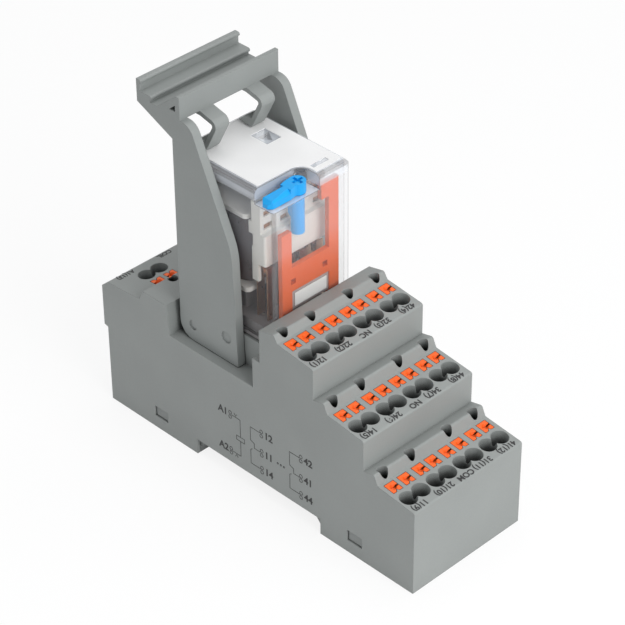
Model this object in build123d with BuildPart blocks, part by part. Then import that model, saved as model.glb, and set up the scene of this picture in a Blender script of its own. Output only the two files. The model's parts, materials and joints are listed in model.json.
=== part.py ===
from build123d import *
from math import atan, copysign, cos, degrees, radians, sin, tan
import os

os.makedirs("parts", exist_ok=True)

# Plug-in relay on a DIN rail socket, millimetres.
# X runs from the coil end to the tiered contact end, Y across the socket, Z up from its feet.
# The origin is under the middle of the whole module, on the surface it stands on.

# Socket walls and outline
side_wall = 0.8
back_overhang = 1.1
overhang_height = 19.3
end_wall = 1.6
corner_round = 0.5

# Rail foot
rail_recess_width = 36.4
rail_recess_depth = 3.8
front_foot_length = 25.6
cover_thickness = 1.5
cover_gap = 0.1
fixed_claw_reach = 1.1
sprung_claw_reach = 1.9
claw_height = 1.1
rail_flange_room = 1.1
foot_relief_slot = 1.2
foot_relief_end = 3.0
window_length = 4.0
window_height = 2.6
window_sill = 3.0
window_inset = 14.0
catch_gap = 0.2
catch_thickness = 1.0
catch_reach = 0.6

# Contact tiers, counted from the lowest one at the front
tier_count = 3
tier_pitch = 13.7
tier_rise = 9.95
lowest_tier_height = 20.4
plate_length = 9.8
plate_slope = 6.5
ridge_height = 2.2
ridge_nose = 1.0
ridge_fall = 13.0
ridge_round = 0.55
top_ridge_length = 5.2
top_ridge_height = 1.6

# Poles and their pairs of wire entries
pole_count = 4
pole_pitch = 7.6
channel_wall = 1.0
roof_thickness = 7.0
entry_from_step = 6.0
entry_pair_pitch = 3.5
entry_funnel_radius = 1.9
entry_wire_radius = 1.35
entry_funnel_depth = 5.2
test_hole_radius = 1.15
test_hole_depth = 6.0
test_hole_from_step = 1.35
test_hole_shift = 1.5

# Release buttons
button_from_step = 2.0
button_pair_pitch = 3.6
button_length = 2.65
button_width = 2.5
button_gap = 0.1
button_notch_width = 0.9
button_notch_depth = 0.65
button_travel = 1.4
button_reach = 0.3
shaft_overrun = 2.0
button_foot_margin = 0.35
button_dish_radius = 0.75
button_dish_depth = 0.7
button_slot_width = 0.5

# Coil terminal block at the back
coil_pitch = 12.9
coil_plate_height = 31.7
coil_plate_slope = 4.0
coil_plate_length = 10.0
coil_edge_drop = 1.7
coil_edge_run = 2.0
coil_ridge_length = 7.1
coil_riser_run = 1.2
coil_test_hole_from_step = 2.1

# Relay seat
deck_height = 34.2
deck_thickness = 2.0
relay_bay_length = 27.5
clip_pocket_floor = 27.0
clip_pocket_front_wall = 2.1
clip_pocket_rear_wall = 0.7
pocket_floor_thickness = 1.3
pocket_skin = 1.0

# Retaining clip
clip_arm_thickness = 2.0
clip_foot_gap = 0.2
clip_side_gap = 0.2
clip_pivot_from_rear = 5.5
clip_pivot_height = 30.9
clip_waist_round = 16.0
clip_foot_reach = 13.3
clip_waist_reach = 12.4
clip_waist_height = 54.5
clip_shoulder_height = 79.0
clip_gusset_height = 74.0
clip_bar_setback = 1.3
clip_lean = 24.0
clip_shoulder_round = 3.2
clip_pin_radius = 1.5
clip_pin_gap = 0.05
clip_pin_end_gap = 0.1
clip_mark_radius = 1.1
clip_mark_shift = 0.8
clip_dimple_radius = 1.35
clip_dimple_depth = 0.35
clip_dimple_from_pivot = 10.0
clip_dimple_rise = 2.1
bar_front_height = 5.1
bar_length = 12.4
bar_sheet = 1.2
bar_lip = 0.9
bar_slope_run = 5.6
bar_slope_drop = 4.5
bar_gutter_run = 2.1
bar_step_rise = 1.4
bar_back_height = 3.9
bar_back_sheet = 0.9
bar_peek = 1.4
bead_radius = 0.45
hook_width = 3.6
hook_sheet = 1.0
hook_centre = 6.2
hook_reach = 4.4
hook_fall = 1.5
hook_bend = 1.0
hook_return = 3.1
toe_length = 3.6
toe_height = 2.0
toe_rise = 0.3
toe_gap = 0.45

# Plug-in relay
relay_length = 27.6
relay_width = 21.2
relay_height = 35.6
relay_front_gap = 0.35
relay_side_room = 0.5
relay_seat_gap = 0.2
case_wall = 0.7
case_corner = 1.2
case_bevel = 0.9
base_thickness = 3.2
base_flange = 0.8
base_gap = 0.1
scoop_length = 5.3
scoop_width = 12.5
scoop_depth = 3.2
scoop_corner = 2.6
label_thickness = 0.15
label_margin = 1.3
label_corner = 0.6
label_scoop_margin = 0.4
moulding_mark_radius = 1.9
moulding_mark_depth = 0.4
moulding_mark_taper = 60
mark_window_length = 4.8
mark_window_width = 3.9
mark_from_front = 17.55
mark_y = 4.4
slot_mark_length = 1.2
slot_mark_width = 4.2
slot_mark_from_front = 3.2
slot_mark_y = 5.0

# Blades and the forks that grip them
blade_thickness = 0.5
blade_width = 2.4
blade_length = 6.4
com_lug = 1.5
coil_lug = 2.6
blade_column_pitch = 4.5
blade_slot_gap = 0.2
nc_row = 9.5
no_row = 5.4
com_row = -3.6
coil_row = -9.9
fork_sheet = 0.4
fork_grip_gap = 0.05
fork_web = 0.8

# Current bars
bar_strip = 0.8
bar_run_width = 3.0
riser_width = 1.7
clamp_plate_width = 6.0
clamp_plate_gap = 0.1
clamp_top_gap = 0.3
run_drops = [14.5, 16.5, 18.3]
coil_run_drop = 16.2
fork_foot_height = 25.6
riser_foot_height = 2.4

# Clamp springs
spring_sheet = 0.35
spring_width = 2.5
spring_bend = 0.75
spring_drop = 4.35
spring_head_gap = 0.7
spring_wall_gap = 0.2

# Relay works
works_gap = 0.3
blade_fit_gap = 0.05
blade_tip = 0.5
rib_length = 2.4
rib_width = 15.0
rib_from_core = 4.2
yoke_sheet = 1.4
yoke_width = 12.8
yoke_back_gap = 0.75
yoke_height = 28.2
bobbin_length = 15.4
bobbin_side_gap = 0.7
bobbin_height = 18.6
bobbin_flange = 1.1
bobbin_tube = 0.8
bobbin_gap = 0.05
winding_inset = 0.7
winding_inset_side = 1.4
winding_corner = 3.4
core_radius = 3.2
pole_radius = 4.4
pole_thickness = 1.0
pole_air_gap = 0.1
armature_sheet = 1.2
armature_width = 12.0
armature_heel = 0.6
armature_lift = 0.05
armature_swing = 2.5
carrier_back = -5.8
carrier_length = 3.75
carrier_comb_length = 2.5
carrier_side_gap = 1.05
carrier_top = 31.1
carrier_comb_height = 7.0
carrier_block_height = 7.2
carrier_round = 0.5
cheek_length = 1.7
cheek_width = 0.8
cheek_height = 4.3
carrier_lug_length = 0.8
carrier_lug_height = 2.8
carrier_fit_gap = 0.05
carrier_bite = 1.0
carrier_window_width = 2.3
carrier_window_height = 1.3
carrier_window_sill = 0.7
carrier_window_pitch = 3.0
contact_x = -4.0
contact_rise = 14.4
contact_sheet = 0.3
contact_width = 2.0
contact_tail = 1.3
contact_radius = 0.8
contact_button = 0.35
contact_air_gap = 0.14
leaf_sheet = 0.25
leaf_width = 6.0
leaf_length = 20.0
leaf_hook = 2.4
leaf_gap = 0.15

# Front frame, seen through the clear case
frame_gap = 0.45
frame_thickness = 1.1
frame_left_gap = 2.45
frame_right_gap = 1.65
frame_post = 2.7
frame_left_height = 25.1
frame_right_height = 32.3
frame_tab = 2.05
frame_tab_height = 3.7
crossbar_bottom = 10.8
crossbar_height = 5.7
crossbar_hole = 1.3
crossbar_hole_y = 4.4
crossbar_hole_rise = 2.3
window_plate_height = 4.6
window_plate_thickness = 0.6
window_pad_border = 0.75
window_pad_rise = 0.25

# Test lever
lever_head_radius = 1.75
lever_length = 8.7
lever_neck_width = 2.3
lever_body_width = 2.9
lever_body_start = 3.2
lever_tip_fall = 0.8
lever_tip_bevel = 0.8
lever_facet_run = 1.0
lever_facet_rise = 1.1
lever_top_inset = 0.5
lever_running_gap = 0.1
lever_floor_gap = 0.25
lever_head_y = -1.75
lever_head_inset = 2.45
lever_stem_radius = 1.4
lever_stem_length = 9.4
lever_wing_reach = 2.1
lever_wing_width = 1.3
lever_wing_height = 5.6
lever_wing_taper = 1.2
lever_cross_width = 0.7
lever_cross_length = 2.6
lever_cross_depth = 0.6

# Derived overall length and positions along X
tiers_length = (tier_count - 1) * tier_pitch + plate_length + top_ridge_length
coil_block_length = coil_ridge_length + coil_riser_run + coil_plate_length + coil_edge_run
socket_length = tiers_length + relay_bay_length + coil_block_length
x_front = socket_length / 2
x_back = -socket_length / 2
x_back_lower = x_back + back_overhang
x_recess_front = x_front - front_foot_length
x_recess_rear = x_recess_front - rail_recess_width
x_bay_front = x_front - tiers_length
x_bay_rear = x_bay_front - relay_bay_length
x_coil_ridge = x_bay_rear - coil_ridge_length
x_coil_step = x_coil_ridge - coil_riser_run
x_pocket_front = x_bay_front - clip_pocket_front_wall
x_pocket_rear = x_bay_rear + clip_pocket_rear_wall
clip_pivot_x = x_bay_rear + clip_pivot_from_rear
bar_front = clip_pivot_x - clip_bar_setback
bar_back = bar_front - bar_length
bar_top = clip_shoulder_height + bar_front_height
bar_floor = bar_top - bar_slope_drop

# Derived positions across Y
pole_ys = [(i - (pole_count - 1) / 2) * pole_pitch for i in range(pole_count)]
coil_ys = [-coil_pitch / 2, coil_pitch / 2]
channel_width = pole_pitch - channel_wall
inner_width = (pole_count - 1) * pole_pitch + channel_width
socket_width = inner_width + 2 * side_wall
pocket_y = relay_width / 2 + relay_side_room
clip_pocket_depth = socket_width / 2 - pocket_y
clip_span = 2 * (pocket_y + clip_side_gap + clip_arm_thickness)
bay_half_width = pocket_y - pocket_skin
blade_columns = [(i - (pole_count - 1) / 2) * blade_column_pitch for i in range(pole_count)]
coil_blade_columns = [blade_columns[0], blade_columns[-1]]

# Derived relay positions
relay_front = x_bay_front - relay_front_gap
relay_x = relay_front - relay_length / 2
relay_bottom = deck_height + relay_seat_gap
relay_top = relay_bottom + relay_height
base_top = relay_bottom + base_thickness
scoop_floor = relay_top - scoop_depth
scoop_rear = relay_front - scoop_length
scoop_side = scoop_width - relay_width / 2
lever_x = relay_front - lever_head_inset
mark_x = relay_front - mark_from_front
yoke_back = relay_x - relay_length / 2 + case_wall + yoke_back_gap
yoke_top = relay_bottom + yoke_height
pivot_x = yoke_back + yoke_sheet / 2
pivot_height = yoke_top + armature_lift
pole_top = pivot_height - pole_air_gap
bobbin_top = pole_top - pole_thickness
bobbin_bottom = bobbin_top - bobbin_height
yoke_bottom = bobbin_bottom - yoke_sheet
inner_half_width = relay_width / 2 - case_wall
bobbin_width = 2 * (inner_half_width - bobbin_side_gap)
carrier_width = 2 * (inner_half_width - carrier_side_gap)
frame_left = frame_left_gap - inner_half_width
frame_right = inner_half_width - frame_right_gap
bobbin_x = yoke_back + yoke_sheet + bobbin_gap + bobbin_length / 2
contact_height = relay_bottom + contact_rise
contact_shift = (pivot_height - contact_height) * sin(radians(armature_swing))
contact_fall = (contact_x - pivot_x) * sin(radians(armature_swing))
frame_x = relay_front - case_wall - frame_gap - frame_thickness
fork_top = deck_height - deck_thickness - works_gap
tier_rows = [com_row, no_row, nc_row]


def tier_face(tier):
    """X of the front face below a tier's plate."""
    return x_front - tier * tier_pitch


def tier_height(tier):
    """Z of the front edge of a tier's plate."""
    return lowest_tier_height + tier * tier_rise


def tier_step_height(tier):
    """Z where a tier's plate meets the ridge behind it."""
    return tier_height(tier) + plate_length * tan(radians(plate_slope))


def tier_plane(tier):
    """Sloping plate of a tier: origin at its step, local X towards the front."""
    slope = radians(plate_slope)
    origin = (tier_face(tier) - plate_length, 0, tier_step_height(tier))
    return Plane(origin=origin, x_dir=(cos(slope), 0, -sin(slope)), z_dir=(sin(slope), 0, cos(slope)))


def coil_plane():
    """Sloping plate of the coil block: origin at its step, local X towards the back."""
    slope = radians(coil_plate_slope)
    origin = (x_coil_step, 0, coil_plate_height)
    return Plane(origin=origin, x_dir=(-cos(slope), 0, -sin(slope)), z_dir=(-sin(slope), 0, cos(slope)))


def terminal_rows():
    """Each row of terminals: name, plate plane and the Y of its terminals."""
    rows = [(name, tier_plane(tier), pole_ys) for tier, name in enumerate(["com", "no", "nc"])]
    rows.append(("coil", coil_plane(), coil_ys))
    return rows


def button_centres(ys):
    """Local places of the release buttons on a plate."""
    return [(button_from_step, y + side * button_pair_pitch / 2) for y in ys for side in (-1, 1)]


def corners_at(sketch, points):
    """The sketch's corners that lie at the given points."""
    return [v for v in sketch.vertices() if any(abs(v.X - x) + abs(v.Y - y) < 0.01 for x, y in points)]


def button_outline(grow):
    """Notched outline of a release button, grown by a gap for its shaft."""
    back = -button_length / 2
    front = button_length / 2
    half = button_width / 2
    with BuildSketch() as outline:
        with BuildLine():
            Polyline(
                (back, -half),
                (front, -half),
                (front, -button_notch_width / 2),
                (front - button_notch_depth, 0),
                (front, button_notch_width / 2),
                (front, half),
                (back, half),
                close=True,
            )
        make_face()
        if grow:
            offset(amount=grow, kind=Kind.INTERSECTION)
    return outline.sketch


def housing_points():
    """Side outline of the socket, and the ridge corners that are rounded."""
    points = [
        (x_back_lower, 0),
        (x_recess_rear, 0),
        (x_recess_rear, rail_recess_depth),
        (x_recess_front, rail_recess_depth),
        (x_recess_front, 0),
        (x_front, 0),
    ]
    noses = []
    for tier in range(tier_count):
        step_x = tier_face(tier) - plate_length
        step_z = tier_step_height(tier)
        top = tier == tier_count - 1
        length = top_ridge_length if top else tier_pitch - plate_length
        height = top_ridge_height if top else ridge_height
        nose = (step_x - ridge_nose, step_z + height)
        noses.append(nose)
        fall = (length - ridge_nose) * tan(radians(ridge_fall))
        points += [
            (tier_face(tier), tier_height(tier)),
            (step_x, step_z),
            nose,
            (step_x - length, step_z + height - fall),
        ]
    coil_run = x_coil_step - (x_back + coil_edge_run)
    coil_edge_height = coil_plate_height - coil_run * tan(radians(coil_plate_slope))
    points += [
        (x_bay_front, deck_height),
        (x_coil_ridge, deck_height),
        (x_coil_step, coil_plate_height),
        (x_back + coil_edge_run, coil_edge_height),
        (x_back, coil_edge_height - coil_edge_drop),
        (x_back, overhang_height),
        (x_back_lower, overhang_height - back_overhang / 4),
    ]
    return points, noses


def channel_points():
    """Side outline of a pole's channel, open below and stepped under each tier."""
    front = x_front - end_wall
    points = [(front, -1), (front, lowest_tier_height - roof_thickness)]
    for tier in range(1, tier_count):
        x = tier_face(tier) - end_wall
        points.append((x, tier_height(tier - 1) - roof_thickness))
        points.append((x, tier_height(tier) - roof_thickness))
    back = x_bay_front + end_wall
    under_pocket = clip_pocket_floor - pocket_floor_thickness
    points += [
        (back, tier_height(tier_count - 1) - roof_thickness),
        (back, under_pocket),
        (x_bay_rear, under_pocket),
        (x_bay_rear, -1),
    ]
    return points


def cover_points(gap):
    """Side outline of the base cover that follows the rail recess, grown upwards by a gap."""
    top = cover_thickness + gap
    crown = rail_recess_depth + top
    rear = x_back_lower + end_wall - gap
    front = x_front - end_wall + gap
    return [
        (rear, 0),
        (x_recess_rear, 0),
        (x_recess_rear, rail_recess_depth),
        (x_recess_front, rail_recess_depth),
        (x_recess_front, 0),
        (front, 0),
        (front, top),
        (x_recess_front + top, top),
        (x_recess_front + top, crown),
        (x_recess_rear - top, crown),
        (x_recess_rear - top, top),
        (rear, top),
    ]


window_xs = [x_front - window_inset - window_length / 2, x_back_lower + window_inset + window_length / 2]


def make_housing():
    """One moulding: stepped tiers, coil block, relay deck and the chambers inside."""
    points, noses = housing_points()
    shaft = button_outline(button_gap)
    with BuildPart() as housing:
        with BuildSketch(Plane.XZ) as outline:
            with BuildLine():
                Polyline(*points, close=True)
            make_face()
            fillet(corners_at(outline, noses), radius=ridge_round)
            fillet(corners_at(outline, [(tier_face(t), tier_height(t)) for t in range(tier_count)]), corner_round)
        extrude(amount=socket_width / 2, both=True)

        # Pole channels, open below, where the current bars and springs stand
        for y in pole_ys:
            with BuildSketch(Plane.XZ.offset(-y)):
                with BuildLine():
                    Polyline(*channel_points(), close=True)
                make_face()
            extrude(amount=channel_width / 2, both=True, mode=Mode.SUBTRACT)

        # Contact bay under the relay deck
        bay_front = x_bay_front - channel_wall
        with BuildSketch(Plane.XY.offset(-1)):
            with Locations(((x_bay_rear + bay_front) / 2, 0)):
                Rectangle(bay_front - x_bay_rear, 2 * bay_half_width)
        extrude(amount=1 + deck_height - deck_thickness, mode=Mode.SUBTRACT)

        # Coil channels at the back
        coil_roof = coil_plate_height - roof_thickness - coil_edge_drop / 2
        coil_rear = x_back_lower + end_wall
        with BuildSketch(Plane.XY.offset(-1)):
            with Locations(*[((coil_rear + x_bay_rear) / 2, y) for y in coil_ys]):
                Rectangle(x_bay_rear - coil_rear, channel_width)
        extrude(amount=1 + coil_roof, mode=Mode.SUBTRACT)

        # Seat of the base cover between the side walls
        with BuildSketch(Plane.XZ):
            with BuildLine():
                Polyline(*cover_points(cover_gap), close=True)
            make_face()
        extrude(amount=inner_width / 2, both=True, mode=Mode.SUBTRACT)

        # Windows for the cover's catches
        with BuildSketch(Plane.XZ):
            with Locations(*[(x, window_sill + window_height / 2) for x in window_xs]):
                Rectangle(window_length, window_height)
        extrude(amount=socket_width, both=True, mode=Mode.SUBTRACT)

        # Rooms behind the windows for the legs of the catches
        room_y = inner_width / 2 - cover_gap - catch_thickness
        for side in (-1, 1):
            with BuildSketch(Plane.XY):
                with Locations(*[(x, side * room_y) for x in window_xs]):
                    Rectangle(window_length, 2 * (inner_width / 2 - room_y))
            extrude(amount=window_sill + window_height, mode=Mode.SUBTRACT)

        # Side pockets for the arms of the retaining clip
        for side in (-1, 1):
            with BuildSketch(Plane.XZ.offset(-side * (socket_width - clip_pocket_depth) / 2)):
                with BuildLine():
                    Polyline(
                        (x_pocket_rear, clip_pocket_floor),
                        (x_pocket_front, clip_pocket_floor),
                        (x_pocket_front, deck_height + 1),
                        (x_bay_rear, deck_height + 1),
                        (x_bay_rear, deck_height - 1),
                        close=True,
                    )
                make_face()
            extrude(amount=clip_pocket_depth / 2, both=True, mode=Mode.SUBTRACT)

        # Pivot bores of the clip, through the skin of each pocket
        with BuildSketch(Plane.XZ):
            with Locations((clip_pivot_x, clip_pivot_height)):
                Circle(clip_pin_radius + clip_pin_gap)
        extrude(amount=pocket_y, both=True, mode=Mode.SUBTRACT)

        # Wire entries, release button shafts and test holes of each row
        funnel_slope = (entry_funnel_radius - entry_wire_radius) / entry_funnel_depth
        for name, plate, ys in terminal_rows():
            with Locations(plate):
                for side in (-1, 1):
                    with Locations(*[(entry_from_step, y + side * entry_pair_pitch / 2) for y in ys]):
                        CounterSinkHole(
                            entry_wire_radius,
                            entry_funnel_radius,
                            roof_thickness + shaft_overrun,
                            2 * degrees(atan(funnel_slope)),
                        )
            with BuildSketch(plate):
                with Locations(*button_centres(ys)):
                    add(shaft)
            extrude(amount=-(roof_thickness + shaft_overrun), mode=Mode.SUBTRACT)
        for tier in range(tier_count):
            top = tier_step_height(tier) + max(ridge_height, top_ridge_height)
            with BuildSketch(Plane.XY.offset(top)):
                x = tier_face(tier) - plate_length - test_hole_from_step
                with Locations(*[(x, y + copysign(test_hole_shift, y)) for y in pole_ys]):
                    Circle(test_hole_radius)
            extrude(amount=-test_hole_depth, mode=Mode.SUBTRACT)
        with BuildSketch(Plane.XY.offset(deck_height)):
            x = x_coil_step + coil_test_hole_from_step
            with Locations(*[(x, y + copysign(test_hole_shift, y)) for y in coil_ys]):
                Circle(test_hole_radius)
        extrude(amount=-test_hole_depth, mode=Mode.SUBTRACT)

        # Blade slots in the relay deck
        with BuildSketch(Plane.XY.offset(deck_height)):
            with Locations(*blade_places()):
                Rectangle(blade_width + 2 * blade_slot_gap, blade_thickness + 2 * blade_slot_gap)
        extrude(amount=-deck_thickness, mode=Mode.SUBTRACT)
    return housing


def make_base_cover():
    """Snap-in floor that closes the chambers and carries the rail claws."""
    with BuildPart() as cover:
        with BuildSketch(Plane.XZ):
            with BuildLine():
                Polyline(*cover_points(0), close=True)
            make_face()
            # Fixed claw at the rear and sprung claw at the front hook under the rail
            claw_top = rail_recess_depth - rail_flange_room
            with BuildLine():
                Polyline(
                    (x_recess_rear, claw_top),
                    (x_recess_rear + fixed_claw_reach, claw_top),
                    (x_recess_rear + fixed_claw_reach, claw_top - claw_height / 2),
                    (x_recess_rear, claw_top - claw_height),
                    close=True,
                )
            make_face()
            with BuildLine():
                Polyline(
                    (x_recess_front, claw_top),
                    (x_recess_front - sprung_claw_reach, claw_top),
                    (x_recess_front, claw_top - 2 * claw_height),
                    close=True,
                )
            make_face()
        extrude(amount=inner_width / 2 - cover_gap, both=True)

        # Relief slot that lets the sprung claw give way
        with BuildSketch(Plane.XY):
            with Locations((x_recess_front + cover_thickness + foot_relief_slot, 0)):
                SlotOverall(inner_width - 2 * foot_relief_end, foot_relief_slot, rotation=90)
        extrude(amount=cover_thickness, mode=Mode.SUBTRACT)

        # Catches that snap into the side windows
        catch_length = window_length - 2 * catch_gap
        catch_top = window_sill + window_height - catch_gap
        for side in (-1, 1):
            inner_y = inner_width / 2 - cover_gap
            with BuildSketch(Plane.XY):
                with Locations(*[(x, side * (inner_y - catch_thickness / 2)) for x in window_xs]):
                    Rectangle(catch_length, catch_thickness)
            extrude(amount=catch_top)
            with BuildSketch(Plane.XY.offset(window_sill + catch_gap)):
                with Locations(*[(x, side * (inner_y + catch_reach / 2)) for x in window_xs]):
                    Rectangle(catch_length, catch_reach)
            extrude(amount=window_height - 2 * catch_gap)
    return cover


def make_button(plate, x, y):
    """Release button in its shaft, with a dished top for a screwdriver and a narrower foot."""
    foot_length = roof_thickness + button_reach
    outline = button_outline(0)
    with BuildPart() as button:
        with BuildSketch(plate):
            with Locations((x, y)):
                add(outline)
        extrude(amount=-foot_length)
        with BuildSketch(plate.offset(-foot_length)):
            with Locations((x, y)):
                Rectangle(button_length - 2 * button_foot_margin, button_width - 2 * button_foot_margin)
        extrude(amount=-button_foot_margin)
        with Locations(plate):
            with Locations((x, y)):
                Cone(
                    button_dish_radius / 2,
                    button_dish_radius,
                    button_dish_depth,
                    align=(Align.CENTER, Align.CENTER, Align.MAX),
                    mode=Mode.SUBTRACT,
                )
        with BuildSketch(plate):
            with Locations((x, y + button_width / 4)):
                Rectangle(button_slot_width, button_width / 2)
        extrude(amount=-button_dish_depth, mode=Mode.SUBTRACT)
    return button


def blade_places():
    """X and Y of every blade, contact rows first and the coil pair last."""
    places = [(relay_x + row, y) for row in tier_rows for y in blade_columns]
    return places + [(relay_x + coil_row, y) for y in coil_blade_columns]


def make_strip(clamp_x, clamp_top, level, terminal_y, blade_x, blade_y):
    """One bent strip: clamp plate under the wire entries, run, riser and fork round a blade."""
    low = min(terminal_y - bar_run_width / 2, blade_y - riser_width / 2)
    high = max(terminal_y + bar_run_width / 2, blade_y + riser_width / 2)
    tine_y = blade_thickness / 2 + fork_grip_gap + fork_sheet / 2
    with BuildPart() as strip:
        with BuildSketch(Plane.XY.offset(level)):
            with Locations((clamp_x, terminal_y)):
                Rectangle(bar_strip, clamp_plate_width)
        extrude(amount=clamp_top - level)
        with BuildSketch(Plane.XY.offset(level)):
            with Locations(((clamp_x + blade_x) / 2, terminal_y)):
                Rectangle(abs(blade_x - clamp_x) + bar_strip, bar_run_width)
        extrude(amount=bar_strip)
        with BuildSketch(Plane.XY.offset(level)):
            with Locations((blade_x, (low + high) / 2)):
                Rectangle(bar_strip, high - low)
        extrude(amount=riser_foot_height)
        with BuildSketch(Plane.XY.offset(level)):
            with Locations((blade_x, blade_y)):
                Rectangle(bar_strip, riser_width)
        extrude(amount=fork_foot_height - level)
        with BuildSketch(Plane.XY.offset(fork_foot_height - fork_web)):
            with Locations((blade_x, blade_y)):
                Rectangle(blade_width, 2 * tine_y + fork_sheet)
        extrude(amount=fork_web)
        with BuildSketch(Plane.XY.offset(fork_foot_height)):
            with Locations((blade_x, blade_y - tine_y), (blade_x, blade_y + tine_y)):
                Rectangle(blade_width, fork_sheet)
        extrude(amount=fork_top - fork_foot_height)
    return strip.part


def clamp_plate_x(plate, towards):
    """X of a clamp plate, just past the wire entries on the side away from the buttons."""
    entry = plate.from_local_coords((entry_from_step, 0, -roof_thickness))
    return entry.X + towards * (entry_wire_radius + clamp_plate_gap + bar_strip / 2)


def make_current_bars(row):
    """The current bars of one row of terminals, a separate strip for each pole."""
    name, plate, ys = terminal_rows()[row]
    if name == "coil":
        x = clamp_plate_x(plate, -1)
        top = coil_plate_height - roof_thickness - coil_edge_drop
        level = coil_plate_height - coil_run_drop
        blade_x = relay_x + coil_row
        columns = coil_blade_columns
    else:
        x = clamp_plate_x(plate, 1)
        top = tier_height(row) - roof_thickness - clamp_top_gap
        level = tier_height(row) - run_drops[row]
        blade_x = relay_x + tier_rows[row]
        columns = blade_columns
    strips = [make_strip(x, top, level, y, blade_x, column) for y, column in zip(ys, columns)]
    with BuildPart() as bars:
        add(strips)
    return bars


def make_clamp_springs(row):
    """Bent leaf springs of one row, one under each release button."""
    name, plate, ys = terminal_rows()[row]
    forward = -1 if name == "coil" else 1
    button = plate.from_local_coords((button_from_step, 0, 0))
    clamp = clamp_plate_x(plate, forward) - forward * (bar_strip / 2 + spring_sheet)
    roof = coil_plate_height - roof_thickness - coil_edge_drop
    level = coil_plate_height - coil_run_drop
    if name != "coil":
        roof = tier_height(row) - roof_thickness
        level = tier_height(row) - run_drops[row]
    foot = level + bar_strip + spring_wall_gap
    head = roof - button_travel - spring_head_gap
    back = button.X - forward * (button_length / 2 - spring_wall_gap)
    bend = back + forward * 2 * spring_bend
    with BuildPart() as springs:
        for y in [y + side * button_pair_pitch / 2 for y in ys for side in (-1, 1)]:
            with BuildSketch(Plane.XZ.offset(-y)):
                with BuildLine():
                    Polyline(
                        (back, foot),
                        (back, head - spring_bend),
                        (back + forward * spring_bend / 2, head),
                        (bend - forward * spring_bend / 2, head),
                        (bend, head - spring_bend),
                        (clamp, head - spring_drop),
                    )
                trace(line_width=spring_sheet)
            extrude(amount=spring_width / 2, both=True)
    return springs


def clip_outline_points():
    """Side outline of an arm with the end of the bar, anticlockwise from the heel."""
    heel = clip_pivot_height - clip_pocket_floor - clip_foot_gap
    lean = tan(radians(clip_lean))
    rear = clip_pivot_x - heel
    foot = clip_pocket_floor + clip_foot_gap
    waist = clip_pivot_x + clip_waist_reach
    shoulder = waist - lean * (clip_shoulder_height - clip_waist_height)
    points = [
        (rear, foot),
        (clip_pivot_x + clip_foot_reach, foot),
        (waist, clip_waist_height),
        (shoulder, clip_shoulder_height),
    ]
    points += bar_top_points()
    points += [(bar_back, bar_floor - bar_sheet), (rear, clip_gusset_height)]
    rounds = [((rear, foot), heel - 0.01), ((waist, clip_waist_height), clip_waist_round)]
    rounds.append(((shoulder, clip_shoulder_height), clip_shoulder_round))
    return points, rounds


def bar_top_points():
    """Upper outline of the bar from the foot of its front plate to the back plate."""
    gutter_front = bar_front - bar_lip - bar_slope_run
    gutter_back = gutter_front - bar_gutter_run
    inner_back = bar_back + bar_back_sheet
    step = bar_floor + bar_step_rise
    return [
        (bar_front, clip_shoulder_height),
        (bar_front, bar_top),
        (bar_front - bar_lip, bar_top),
        (gutter_front, bar_floor),
        (gutter_back, bar_floor),
        (gutter_back, step),
        (inner_back, step),
        (inner_back, bar_floor + bar_back_height),
        (bar_back, bar_floor + bar_back_height),
    ]


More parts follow.
